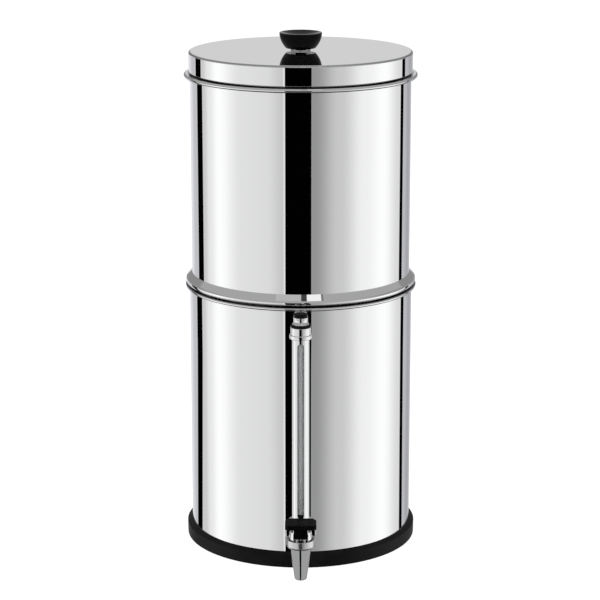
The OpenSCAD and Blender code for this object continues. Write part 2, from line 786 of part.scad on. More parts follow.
// Bell of silicone: its rim is clamped, its foot closes the seat and stretches as the stem lifts
module seat_cup() {
    bell_r = valve_d / 2 - 0.5;
    bell_wall = 1.3;
    foot_step = 0.5;
    rim_r = bonnet_r - 0.4;
    color(silicone) translate([0, tap_y, 0]) difference() {
        union() {
            translate([0, 0, seat_z]) cylinder(r = bell_r - foot_step, h = bell_z - seat_z);
            translate([0, 0, bell_z]) cylinder(r = bell_r, h = bonnet_z0 - bell_z);
            translate([0, 0, rim_z]) cylinder(r = rim_r, h = rim_t);
        }
        translate([0, 0, bell_z]) cylinder(r = bell_r - bell_wall, h = bonnet_z0 - bell_z + over);
        translate([0, 0, knuckle_z - slip]) cylinder(r = knuckle_r + slip, h = knuckle_t + 2 * slip);
        translate([0, 0, knuckle_z]) cylinder(r = valve_stem_d / 2 + slip, h = bonnet_z0);
    }
}

module bonnet() {
    color(steel) translate([0, tap_y, 0]) difference() {
        union() {
            translate([0, 0, bonnet_z0]) cylinder(r = bonnet_r, h = bonnet_flange_h);
            translate([0, 0, dome_z0]) cylinder(r1 = dome_d / 2, r2 = dome_top_d / 2, h = dome_h);
        }
        translate([-ear_slot_w / 2, -cup_d / 2, ear_floor_z]) cube([ear_slot_w, cup_d, dome_h + over]);
        translate([0, 0, bonnet_z0 - over]) cylinder(r = valve_stem_d / 2 + stem_guide_gap, h = dome_h);
        translate([-dome_d / 2, pin_y - tap_y, pin_z]) rotate([0, 90, 0])
            cylinder(r = pin_d / 2 + pin_gap, h = dome_d);
    }
}

module valve_stem() {
    color(steel) translate([0, tap_y, 0]) {
        translate([0, 0, knuckle_z])
            cylinder(r = valve_stem_d / 2, h = crosshead_z + crosshead_t - knuckle_z);
        translate([0, 0, knuckle_z]) cylinder(r = knuckle_r, h = knuckle_t);
        translate([-crosshead_w / 2, -crosshead_depth / 2, crosshead_z])
            cube([crosshead_w, crosshead_depth, crosshead_t]);
    }
}

module lever_pin() {
    color(steel) translate([-pin_l / 2, pin_y, pin_z]) rotate([0, 90, 0]) cylinder(r = pin_d / 2, h = pin_l);
}

module lever() {
    // The neck's reach before and behind the stem, and below the pin
    neck_front = tap_y - 7.5;
    neck_back = tap_y + 6.5;
    neck_z0 = pin_z - 2.8;
    paddle_z = pin_z + paddle_rise;
    wall_front = 2.5;
    roof = 2;
    flare = 5.6;
    nose = 2.5;
    // The hook bars start here beside the stem and end inside the neck's sides
    hook_in = 2.25;
    hook_inset = 0.5;
    half = paddle_w / 2;
    color(black) difference() {
        union() {
            difference() {
                translate([-lever_neck_w / 2, neck_front, neck_z0])
                    cube([lever_neck_w, neck_back - neck_front, paddle_z - neck_z0 + over]);
                translate([-pocket_w / 2, neck_front + wall_front, neck_z0 - over])
                    cube([pocket_w, neck_back - neck_front, paddle_z - roof - neck_z0 + over]);
            }
            translate([0, tap_y, paddle_z]) linear_extrude(paddle_t) polygon([
                [-paddle_rear_w / 2, paddle_rear], [-half, paddle_rear - flare],
                [-half, nose - paddle_front],
                [-half + nose, -paddle_front], [half - nose, -paddle_front], [half, nose - paddle_front],
                [half, paddle_rear - flare], [paddle_rear_w / 2, paddle_rear]
            ]);
            for (side = [0, 1]) mirror([side, 0, 0]) translate([hook_in, tap_y, pin_z])
                rotate([0, 90, 0]) cylinder(r = hook_r, h = lever_neck_w / 2 - hook_in - hook_inset);
        }
        translate([-lever_neck_w, pin_y, pin_z]) rotate([0, 90, 0])
            cylinder(r = pin_d / 2 + slip, h = 2 * lever_neck_w);
    }
}

base_ring();
lower_chamber();
upper_chamber();
lid();
knob();
knob_washer();
knob_screw();
translate([-hole_pitch_r, 0, 0]) filter_media();  // filter_media_left
translate([hole_pitch_r, 0, 0]) filter_media();  // filter_media_right
translate([-hole_pitch_r, 0, 0]) filter_top_cap();  // filter_top_cap_left
translate([hole_pitch_r, 0, 0]) filter_top_cap();  // filter_top_cap_right
translate([-hole_pitch_r, 0, 0]) filter_base();  // filter_base_left
translate([hole_pitch_r, 0, 0]) filter_base();  // filter_base_right
filter_seals();
at_filters() wing_nut();  // filter_wing_nuts
hole_plugs();
plug_seals();
at_plugs() wing_nut();  // plug_wing_nuts
tee();
outer_wall_seal();
inner_wall_seal();
lock_nut();
gland_nut();
lower_glass_seal();
guard_tube();
glass_tube();
upper_glass_seal();
top_collar();
gasket();
vent_spool();
vent_plug();
tap_body();
tap_seal();
jam_nut();
seat_cup();
bonnet();
valve_stem();
lever_pin();
lever();
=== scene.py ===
import json
import math
import bpy
import bmesh
from mathutils import Matrix, Vector


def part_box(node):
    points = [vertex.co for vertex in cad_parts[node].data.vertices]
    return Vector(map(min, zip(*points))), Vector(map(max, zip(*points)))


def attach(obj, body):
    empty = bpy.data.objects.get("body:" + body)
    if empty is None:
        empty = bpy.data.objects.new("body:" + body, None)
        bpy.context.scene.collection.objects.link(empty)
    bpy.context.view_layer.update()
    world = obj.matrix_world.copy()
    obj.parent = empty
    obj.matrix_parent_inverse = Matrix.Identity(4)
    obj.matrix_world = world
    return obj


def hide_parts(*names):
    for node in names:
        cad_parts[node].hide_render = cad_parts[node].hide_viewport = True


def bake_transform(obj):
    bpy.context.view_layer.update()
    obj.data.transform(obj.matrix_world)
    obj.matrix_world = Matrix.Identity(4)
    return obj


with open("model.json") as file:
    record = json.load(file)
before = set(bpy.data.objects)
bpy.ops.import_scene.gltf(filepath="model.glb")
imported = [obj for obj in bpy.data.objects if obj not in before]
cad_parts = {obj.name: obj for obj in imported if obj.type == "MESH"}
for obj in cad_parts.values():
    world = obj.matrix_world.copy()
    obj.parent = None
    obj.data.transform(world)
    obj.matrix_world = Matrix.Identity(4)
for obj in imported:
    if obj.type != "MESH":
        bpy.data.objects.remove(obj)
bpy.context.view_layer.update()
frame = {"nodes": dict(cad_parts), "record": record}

scene = bpy.context.scene
scene.view_settings.view_transform = "Standard"
mm = 0.001
bodyOf = {node: body for body, nodes in frame["record"]["behaviour"]["bodies"].items() for node in nodes}
print("frame loaded:", len(frame["nodes"]), "nodes")

# camera: the photograph's own viewpoint; the shift is in shares of its width, 600 pixels
camera = {
    "place": (0.0, -2.1525, 0.769),
    "tiltDown": 13.923,
    "lens": 135.97,
    "sensor": 36,
    "shift": (-0.7 / 600, 0.45 / 600),
    "clip": (0.05, 60),
}
cam = bpy.data.objects.new("camera", bpy.data.cameras.new("camera"))
scene.collection.objects.link(cam)
cam.location = camera["place"]
cam.rotation_euler = (math.radians(90 - camera["tiltDown"]), 0, 0)
cam.data.sensor_width = camera["sensor"]
cam.data.lens = camera["lens"]
cam.data.shift_x, cam.data.shift_y = camera["shift"]
cam.data.clip_start, cam.data.clip_end = camera["clip"]
scene.camera = cam


# shader maths: a Flow is a socket that takes part in sums
class Flow:
    def __init__(self, paint, socket):
        self.paint, self.socket = paint, socket

    def sum(self, operation, first, second=0.0):
        return self.paint.add("ShaderNodeMath", {"operation": operation}, {0: first, 1: second})

    def __add__(self, other): return self.sum("ADD", self, other)
    def __radd__(self, other): return self.sum("ADD", other, self)
    def __sub__(self, other): return self.sum("SUBTRACT", self, other)
    def __rsub__(self, other): return self.sum("SUBTRACT", other, self)
    def __mul__(self, other): return self.sum("MULTIPLY", self, other)
    def __rmul__(self, other): return self.sum("MULTIPLY", other, self)
    def __neg__(self): return self.sum("MULTIPLY", self, -1.0)
    def __abs__(self): return self.sum("ABSOLUTE", self)
    def root(self): return self.sum("SQRT", self)
    def above(self, least): return self.sum("MAXIMUM", self, least)


class Paint:
    def __init__(self, owner, endKind="ShaderNodeOutputMaterial"):
        self.owner = owner
        owner.use_nodes = True
        self.tree = owner.node_tree
        self.tree.nodes.clear()
        self.end = self.node(endKind)

    def node(self, kind, settings=None, sockets=None):
        node = self.tree.nodes.new(kind)
        for key, value in (settings or {}).items():
            if key == "stops":
                ramp = node.color_ramp
                while len(ramp.elements) < len(value):
                    ramp.elements.new(0.5)
                for element, (place, colour) in zip(ramp.elements, value):
                    element.position, element.color = place, colour
            elif key == "ease":
                node.color_ramp.interpolation = value
            else:
                setattr(node, key, value)
        for key, value in (sockets or {}).items():
            if isinstance(value, Flow):
                self.tree.links.new(value.socket, node.inputs[key])
            else:
                node.inputs[key].default_value = value
        return node

    def add(self, kind, settings=None, sockets=None, out=0):
        return Flow(self, self.node(kind, settings, sockets).outputs[out])

    def at(self):
        return self.add("ShaderNodeTexCoord", out="Object")

    def axes(self):
        split = self.node("ShaderNodeSeparateXYZ", None, {0: self.at()})
        return [Flow(self, split.outputs[axis]) for axis in "XYZ"]

    def stretched(self, scale):
        return self.add("ShaderNodeMapping", {"vector_type": "POINT"}, {"Vector": self.at(), "Scale": scale})

    def noise(self, where, size, detail, rough):
        return self.add("ShaderNodeTexNoise", {"noise_dimensions": "3D"},
                        {"Vector": where, "Scale": size, "Detail": detail, "Roughness": rough})

    def spread(self, value, low, high, toLow=0.0, toHigh=1.0):
        return self.add("ShaderNodeMapRange", {"clamp": True},
                        {"Value": value, "From Min": low, "From Max": high, "To Min": toLow, "To Max": toHigh})

    def mix(self, factor, first, second):
        return self.add("ShaderNodeMix", {"data_type": "RGBA", "clamp_factor": True},
                        {"Factor": factor, 6: first, 7: second}, out=2)

    def bump(self, height, depth, strength=1.0):
        return self.add("ShaderNodeBump", None, {"Height": height, "Distance": depth, "Strength": strength})

    def shine(self, **sockets):
        named = {key.replace("_", " "): value for key, value in sockets.items()}
        return self.finish(self.add("ShaderNodeBsdfPrincipled", None, named))

    def finish(self, shader):
        self.tree.links.new(shader.socket, self.end.inputs["Surface"])
        return self.owner


def coat(name):
    return Paint(bpy.data.materials.new(name))


def grey(level):
    return (level, level, level, 1)


def tinted(level, tint):
    return (*(level * part for part in tint), 1)


# finishes: a noise is (size, detail, roughness), and a name that ends in From gives where a change starts and
# where it is full
def polishedSteel(name, wall, base, corner, end, way):
    look = {"tone": (0.86, 0.862, 0.868, 1), "shade": (0.02, 0.02, 0.022, 1), "rough": 0.012,
            "lines": (1.0, 2.0, 0.6), "lineStretch": (4, 4, 1500), "lineDepth": 0.0000003,
            "cloud": (9.0, 4.0, 0.6), "fingers": (55.0, 5.0, 0.7), "smudge": 0.03, "smudgeFrom": (0.25, 0.5),
            "inRough": 0.26, "inMetal": 0.62, "fade": 0.2 * mm}
    lowerRim, upperRim, lidTop = (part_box(node)[1].z for node in ("lower_chamber", "upper_chamber", "lid"))
    # painted shade: the base colour is darkened in the grooves, under the rolled rims and along the lid's top edge,
    # where shade falls; each row is a rim, then in millimetres the band's middle above it, its half height, its
    # fade and the radius at which the shade starts and is full, then how dark it is
    paintedShadeBands = [(lowerRim, 0.15, 0.45, 0.4, 106.5, 107.5, 1.0),
               (upperRim, 0.25, 0.75, 0.4, 108.6, 107.4, 1.0),
               (lowerRim, -3.1, 0.45, 0.25, 106.5, 107.5, 1.0),
               (upperRim, -3.45, 0.5, 0.3, 104.0, 105.0, 1.0),
               (lidTop, -0.5, 0.5, 0.3, 105.7, 106.3, 0.5)]
    paint = coat(name)
    x, y, z = paint.axes()
    radius = (x * x + y * y).root()
    # the inside, from the middle of the sheet, keeps the satin of the rolled steel
    side = (radius - (wall - corner)).above(0.0)
    down = ((base - z) * way + corner).above(0.0)
    inside = (paint.spread((side * side + down * down).root(), corner + look["fade"], corner - look["fade"])
              * paint.spread((z - end) * way, look["fade"], -look["fade"]))
    # the painted shade in these bands takes the base colour towards the shade tone
    dark = 0.0
    for rim, *sizes, depth in paintedShadeBands:
        middle, half, fade, start, full = (size * mm for size in sizes)
        dark = dark + (paint.spread(abs(z - (rim + middle)), half + fade, half)
                       * paint.spread(radius, start, full) * depth)
    lines = paint.noise(paint.stretched(look["lineStretch"]), *look["lines"])
    cloud = paint.noise(paint.at(), *look["cloud"])
    fingers = paint.noise(paint.at(), *look["fingers"])
    rough = (look["rough"] + look["smudge"] * paint.spread(cloud * fingers, *look["smudgeFrom"])
             + look["inRough"] * inside)
    metal = 1.0 - (1.0 - look["inMetal"]) * inside
    return paint.shine(Base_Color=paint.mix(dark, look["tone"], look["shade"]), Metallic=metal,
                       Roughness=rough, Normal=paint.bump(lines, look["lineDepth"]))


def turnedSteel(name, tone=0.8, rough=0.07, duller=None):
    look = {"tint": (1, 1.003, 1.012), "lines": (1.0, 2.0, 0.6), "lineStretch": (9, 9, 5200),
            "lineDepth": 0.000003, "cloud": (60.0, 3.0, 0.6), "smudge": 0.05, "smudgeFrom": (0.4, 0.75),
            "dull": grey(0.62), "dullRough": 0.2}
    paint = coat(name)
    lines = paint.noise(paint.stretched(look["lineStretch"]), *look["lines"])
    cloud = paint.noise(paint.at(), *look["cloud"])
    colour = tinted(tone, look["tint"])
    roughness = rough + look["smudge"] * paint.spread(cloud, *look["smudgeFrom"])
    if duller:
        mask = duller(paint)
        colour, roughness = paint.mix(mask, colour, look["dull"]), roughness + look["dullRough"] * mask
    return paint.shine(Base_Color=colour, Metallic=1.0, Roughness=roughness,
                       Normal=paint.bump(lines, look["lineDepth"]))


# the guard tube is dull inside its outer skin, on the slot's walls and in the bore
def insideTube(paint):
    look = {"start": 0.2 * mm, "full": 0.9 * mm}
    low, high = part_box("guard_tube")
    wall = (high.x - low.x) / 2
    x, y = paint.axes()[:2]
    y = y - (low.y + high.y) / 2
    return paint.spread((x * x + y * y).root(), wall - look["start"], wall - look["full"])


# the tap is dull from the foot of its cup up
def onCup(paint):
    look = {"start": 40.2 * mm, "full": 41.2 * mm, "share": 0.8}
    z = paint.axes()[2]
    return paint.spread(z, look["start"], look["full"], 0.0, look["share"])


def footRubber():
    look = {"tone": grey(0.003), "dust": (0.009, 0.009, 0.0095, 1), "dustFrom": (0.42, 0.75), "gloss": 0.12,
            "cloud": (34.0, 4.0, 0.62), "rough": 0.42, "cloudRough": 0.16,
            "grain": (900.0, 2.0, 0.6), "depth": 0.00005, "strength": 0.6}
    paint = coat("footRubber")
    grain = paint.noise(paint.at(), *look["grain"])
    cloud = paint.noise(paint.at(), *look["cloud"])
    tone = paint.mix(paint.spread(cloud, *look["dustFrom"]), look["tone"], look["dust"])
    return paint.shine(Base_Color=tone, Roughness=look["rough"] + look["cloudRough"] * cloud,
                       Specular_IOR_Level=look["gloss"],
                       Normal=paint.bump(grain, look["depth"], look["strength"]))


def glossyMoulding(name, tone, rough, gloss, depth=0.00002):
    look = {"wear": (420.0, 3.0, 0.65), "wornFrom": (0.35, 0.8), "wornTone": grey(tone * 2 + 0.002),
            "roughFrom": (0.5, 0.85), "wornRough": 0.06, "ripple": (120.0, 2.0, 0.5), "strength": 0.5}
    paint = coat(name)
    ripple = paint.noise(paint.at(), *look["ripple"])
    wear = paint.noise(paint.at(), *look["wear"])
    colour = paint.mix(paint.spread(wear, *look["wornFrom"]), grey(tone), look["wornTone"])
    return paint.shine(Base_Color=colour, Specular_IOR_Level=gloss,
                       Roughness=rough + look["wornRough"] * paint.spread(wear, *look["roughFrom"]),
                       Normal=paint.bump(ripple, depth, look["strength"]))


def sealRubber(name, tone, deep, gloss):
    look = {"cloud": (240.0, 3.0, 0.6), "rough": 0.36, "cloudRough": 0.16, "depth": 0.00003, "strength": 0.5}
    paint = coat(name)
    cloud = paint.noise(paint.at(), *look["cloud"])
    return paint.shine(Base_Color=paint.mix(cloud, tone, deep), Specular_IOR_Level=gloss,
                       Roughness=look["rough"] + look["cloudRough"] * cloud,
                       Normal=paint.bump(cloud, look["depth"], look["strength"]))


def pressedCarbon():
    look = {"dark": (0.008, 0.008, 0.0085, 1), "light": (0.045, 0.045, 0.046, 1), "lightFrom": (0.15, 0.7),
            "grit": 1100.0, "fine": (2400.0, 2.0, 0.6), "rough": 0.62, "fineRough": 0.3,
            "depth": 0.0002, "strength": 0.8}
    paint = coat("pressedCarbon")
    grit = paint.add("ShaderNodeTexVoronoi", {"feature": "F1"}, {"Vector": paint.at(), "Scale": look["grit"]})
    fine = paint.noise(paint.at(), *look["fine"])
    colour = paint.mix(paint.spread(grit, *look["lightFrom"]), look["dark"], look["light"])
    return paint.shine(Base_Color=colour, Roughness=look["rough"] + look["fineRough"] * fine,
                       Normal=paint.bump(grit, look["depth"], look["strength"]))


def mattMoulding(name, tone, light, rough=0.5):
    look = {"cloud": (60.0, 3.0, 0.6), "lightFrom": (0.4, 0.75), "cloudRough": 0.12,
            "grain": (1500.0, 2.0, 0.6), "depth": 0.00003, "strength": 0.6}
    paint = coat(name)
    grain = paint.noise(paint.at(), *look["grain"])
    cloud = paint.noise(paint.at(), *look["cloud"])
    return paint.shine(Base_Color=paint.mix(paint.spread(cloud, *look["lightFrom"]), tone, light),
                       Roughness=rough + look["cloudRough"] * cloud,
                       Normal=paint.bump(grain, look["depth"], look["strength"]))


def clearTube():
    # hard water leaves a milky haze inside the tube, so part of it scatters
    look = {"tone": (0.86, 0.875, 0.88, 1), "clear": 0.74, "bend": 1.3, "rough": 0.02,
            "streak": (1.0, 2.0, 0.5), "stretch": (260, 260, 6), "streakFrom": (0.5, 0.8), "streakRough": 0.03}
    paint = coat("clearTube")
    streak = paint.noise(paint.stretched(look["stretch"]), *look["streak"])
    roughness = look["rough"] + look["streakRough"] * paint.spread(streak, *look["streakFrom"])
    return paint.shine(Base_Color=look["tone"], Transmission_Weight=look["clear"], IOR=look["bend"],
                       Roughness=roughness)


# middle of the sheet: wall radius, height of the base, corner radius, height where the satin ends; then 1 where
# the piece opens upwards, -1 where it opens downwards
lowerSteel = polishedSteel("lowerSteel", 107.6 * mm, 2.9 * mm, 5.6 * mm, 252.0 * mm, 1)
upperSteel = polishedSteel("upperSteel", 105.3 * mm, 236.8 * mm, 5.6 * mm, 456.2 * mm, 1)
lidSteel = polishedSteel("lidSteel", 106.6 * mm, 480.58 * mm, 1.6 * mm, 462.2 * mm, -1)
fittingSteel = turnedSteel("turnedSteel")
tubeSteel = turnedSteel("tubeSteel", 0.82, 0.05, insideTube)
tapSteel = turnedSteel("tapSteel", 0.72, 0.06, onCup)
rubber = footRubber()
knobBlack = glossyMoulding("knobBlack", 0.0015, 0.14, 0.11)
leverBlack = glossyMoulding("leverBlack", 0.002, 0.24, 0.015, 0.00004)
gasketBlack = sealRubber("gasketBlack", grey(0.003), grey(0.006), 0.08)
silicone = sealRubber("silicone", (0.72, 0.72, 0.69, 1), (0.62, 0.62, 0.60, 1), 0.5)
carbon = pressedCarbon()
capPlastic = mattMoulding("capPlastic", (0.038, 0.038, 0.041, 1), (0.055, 0.055, 0.058, 1))
nylon = mattMoulding("nylon", (0.80, 0.80, 0.77, 1), (0.74, 0.74, 0.70, 1), 0.42)
clear = clearTube()
print("finishes made")

# nodes that keep the frame's own mesh and only get a finish
carried = [
    (lowerSteel, ["lower_chamber"]),
    (upperSteel, ["upper_chamber"]),
    (lidSteel, ["lid"]),
    (rubber, ["base_ring"]),
    (silicone, ["filter_seals", "plug_seals", "outer_wall_seal", "inner_wall_seal", "upper_glass_seal", "tap_seal"]),
    (carbon, ["filter_media_left", "filter_media_right"]),
    (clear, ["glass_tube"]),
]
for finish, nodes in carried:
    for node in nodes:
        for place in frame["nodes"][node].material_slots:
            place.material = finish
print("carried nodes finished")

# shaping: degrees, steps of a round, and millimetres
shaping = {"sharp": 32, "flat": 0.3, "arcStep": 5, "arcLeast": 4, "cornerSteps": 6, "turnSteps": 128,
           "roundingSteps": 2, "turnedWeld": 0.0005, "copyWeld": 0.001}


def finishPiece(bm, name, material, node, edge=None, stretch=None):
    mesh = bpy.data.meshes.new(name)
    bm.to_mesh(mesh)
    bm.free()
    mesh.shade_smooth()
    mesh.set_sharp_from_angle(angle=math.radians(shaping["sharp"]))
    mesh.materials.append(material)
    piece = bpy.data.objects.new(name, mesh)
    scene.collection.objects.link(piece)
    if edge:
        rounding = piece.modifiers.new("rounding", "BEVEL")
        rounding.width, rounding.segments = edge * mm, shaping["roundingSteps"]
        rounding.limit_method, rounding.angle_limit = "ANGLE", math.radians(shaping["sharp"])
        rounding.use_clamp_overlap = False
    normals = piece.modifiers.new("normals", "WEIGHTED_NORMAL")
    normals.keep_sharp = True
    if stretch:
        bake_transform(piece)
    else:
        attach(piece, bodyOf[node])
    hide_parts(node)


def wire(bm, profile, closed):
    # corners (radius, height[, rounding]) and arcs (centre's radius, centre's height, radius, from, to), in
    # millimetres and degrees
    start, last, soft = None, None, []
    for item in profile:
        if len(item) == 5:
            x, z, radius, first, end = item
            across, up = radius * math.cos(math.radians(first)), radius * math.sin(math.radians(first))
            begin = bm.verts.new((x + across, 0, z + up))
            steps = max(shaping["arcLeast"], round(abs(end - first) / shaping["arcStep"]))
            grown = bmesh.ops.spin(bm, geom=[begin], cent=(x, 0, z), axis=(0, 1, 0),
                                   angle=math.radians(first - end), steps=steps, use_merge=False)
            finish = grown["geom_last"][0]
        else:
            begin = finish = bm.verts.new((item[0], 0, item[1]))
            if len(item) == 3:
                soft.append((begin, item[2]))
        if last:
            bm.edges.new((last, begin))
        start, last = start or begin, finish
    if closed:
        bm.edges.new((last, start))
    for corner, radius in soft:
        first, second = (edge.other_vert(corner).co - corner.co for edge in corner.link_edges)
        reach = radius / math.tan(first.angle(second) / 2)
        bmesh.ops.bevel(bm, geom=[corner], offset=reach, offset_type="OFFSET", segments=shaping["cornerSteps"],
                        profile=0.5, affect="VERTICES", material=-1)


def turned(profile, closed=False, axisY=0.0):
    bm = bmesh.new()
    wire(bm, profile, closed)
    bmesh.ops.spin(bm, geom=bm.verts[:] + bm.edges[:], cent=(0, 0, 0), axis=(0, 0, 1), angle=2 * math.pi,
                   steps=shaping["turnSteps"], use_merge=True)
    bmesh.ops.remove_doubles(bm, verts=bm.verts, dist=shaping["turnedWeld"])
    bmesh.ops.recalc_face_normals(bm, faces=bm.faces)
    bmesh.ops.scale(bm, verts=bm.verts, vec=(mm, mm, mm))
    bmesh.ops.translate(bm, verts=bm.verts, vec=(0, axisY, 0))
    return bm


def arcThrough(first, second, radius):
    # the arc from one corner to the next that bulges away from the axis
    (x0, z0), (x1, z1) = first, second
    half = math.hypot(x1 - x0, z1 - z0) / 2
    away = math.sqrt(radius ** 2 - half ** 2)
    x = (x0 + x1) / 2 - away * (z1 - z0) / (2 * half)
    z = (z0 + z1) / 2 + away * (x1 - x0) / (2 * half)
    return (x, z, radius, math.degrees(math.atan2(z0 - z, x0 - x)), math.degrees(math.atan2(z1 - z, x1 - x)))


def makeKnob():
    look = {"foot": 14.6, "footEdge": 0.5, "neck": 5.0, "neckHigh": 1.2, "side": 22.0, "band": 1.75, "edge": 0.7,
            "brim": 2.4, "brimEdge": 0.6, "dish": 3.5, "dishShare": 0.93, "bore": 2.55, "boreHigh": 10.5,
            "corner": 0.3, "neckFoot": 0.2}
    low, high = (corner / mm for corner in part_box("knob"))
    rim = (high.x - low.x) / 2
    foot = low.z + look["neckHigh"]
    dish = rim - look["brim"]
    bowl = (dish ** 2 + look["dish"] ** 2) / (2 * look["dish"])
    swing = math.degrees(math.asin(dish / bowl))
    bore = low.z + look["boreHigh"]
    side = arcThrough((look["foot"], foot + look["footEdge"]), (rim, high.z - look["band"]), look["side"])
    # the dish's arc starts a little inside the brim, which leaves its edge room for the rounding
    profile = [(0, bore), (look["bore"], bore), (look["bore"], low.z, look["corner"]),
               (look["neck"], low.z, look["neckFoot"]), (look["neck"], foot, look["corner"]),
               (look["foot"] - look["footEdge"], foot, look["corner"]), side, (rim, high.z, look["edge"]),
               (dish, high.z, look["brimEdge"]),
               (0, high.z - look["dish"] + bowl, bowl, -90 + swing * look["dishShare"], -90)]
    finishPiece(turned(profile), "bowlKnob", knobBlack, "knob")


def makeGrommet():
    # black seal in the tee, with a lip that stands up round the glass and closes the slot's foot
    look = {"lip": 0.65, "lipTop": 61.2, "gap": 0.05, "crease": 0.1, "edge": 0.3, "lipEdge": 0.25, "lipInner": 0.2}
    low, high = (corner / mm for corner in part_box("lower_glass_seal"))
    glassLow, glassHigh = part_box("glass_tube")
    outer, inner = (high.x - low.x) / 2, (glassHigh.x - glassLow.x) / 2 / mm + look["gap"]
    lip = inner + look["lip"]
    profile = [(inner, low.z, look["crease"]), (outer, low.z, look["edge"]), (outer, high.z, look["edge"]),
               (lip, high.z, look["crease"]), (lip, look["lipTop"], look["lipEdge"]),
               (inner, look["lipTop"], look["lipInner"])]
    axisY = (glassLow.y + glassHigh.y) / 2
    finishPiece(turned(profile, closed=True, axisY=axisY), "glassGrommet", gasketBlack, "lower_glass_seal")


def makeSeatBell():
    # the soft bell in the tap: its rim sits at the clamp and its foot on the stem; it stays where it is made and is
    # not attached to a body
    look = {"foot": 5.6, "bell": 6.1, "inside": 4.8, "rim": 1.3, "step": 35.0, "stem": 1.8,
            "knuckle": 3.05, "knuckleLow": 30.75, "knuckleHigh": 32.85, "rings": (36.4, 37.8, 39.2, 40.6),
            "edge": 0.3, "footEdge": 0.5, "crease": 0.2, "belowClamp": 0.3, "aboveStep": 0.6}
    low, high = (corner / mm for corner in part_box("seat_cup"))
    axisY, clamp, step = (low.y + high.y) / 2 * mm, high.z - look["rim"], look["step"]
    rim, edge = (high.x - low.x) / 2, look["edge"]
    profile = [(0, low.z), (look["foot"], low.z, look["footEdge"]), (look["foot"], step, look["crease"]),
               (look["bell"], step, edge)]
    profile += [(look["bell"], z) for z in look["rings"]]
    profile += [(look["bell"], clamp, edge), (rim, clamp, edge), (rim, high.z, edge), (look["inside"], high.z, edge)]
    profile += [(look["inside"], z) for z in reversed(look["rings"])]
    profile += [(look["inside"], step, look["footEdge"]), (look["stem"], step, look["crease"]),
                (look["stem"], look["knuckleHigh"]), (look["knuckle"], look["knuckleHigh"]),
                (look["knuckle"], look["knuckleLow"]), (0, look["knuckleLow"])]
    stretch = ("base", "stem", (0, axisY, (clamp - look["belowClamp"]) * mm),
               (0, axisY, (step + look["aboveStep"]) * mm))
    finishPiece(turned(profile, axisY=axisY), "seatBell", silicone, "seat_cup", stretch=stretch)


makeKnob()
makeGrommet()
makeSeatBell()
print("knob, grommet and seat bell turned")

# fittings keep the frame's shape, and get the small rounding in millimetres that a machined or moulded edge has
fittings = [
    (fittingSteel, 0.25, ["knob_washer", "top_collar", "gland_nut", "tee", "lock_nut", "jam_nut"]),
    (fittingSteel, 0.15, ["vent_spool", "knob_screw", "valve_stem", "lever_pin", "bonnet"]),
    (tubeSteel, 0.15, ["guard_tube"]),
    (tapSteel, 0.25, ["tap_body"]),
    (leverBlack, 0.3, ["lever"]),
    (gasketBlack, 0.3, ["gasket", "vent_plug"]),
    (capPlastic, 0.4, ["filter_top_cap_left", "filter_top_cap_right", "filter_base_left", "filter_base_right"]),
    (nylon, 0.5, ["filter_wing_nuts", "plug_wing_nuts", "hole_plugs"]),
]


def softened(node, material, edge):
    bm = bmesh.new()
    bm.from_mesh(frame["nodes"][node].data)
    bmesh.ops.remove_doubles(bm, verts=bm.verts, dist=shaping["copyWeld"] * mm)
    bmesh.ops.recalc_face_normals(bm, faces=bm.faces)
    bmesh.ops.dissolve_limit(bm, angle_limit=math.radians(shaping["flat"]), verts=bm.verts, edges=bm.edges)
    words = node.split("_")
    finishPiece(bm, words[0] + "".join(word.title() for word in words[1:]), material, node, edge)


for material, edge, nodes in fittings:
    for node in nodes:
        softened(node, material, edge)
print("fittings rounded")

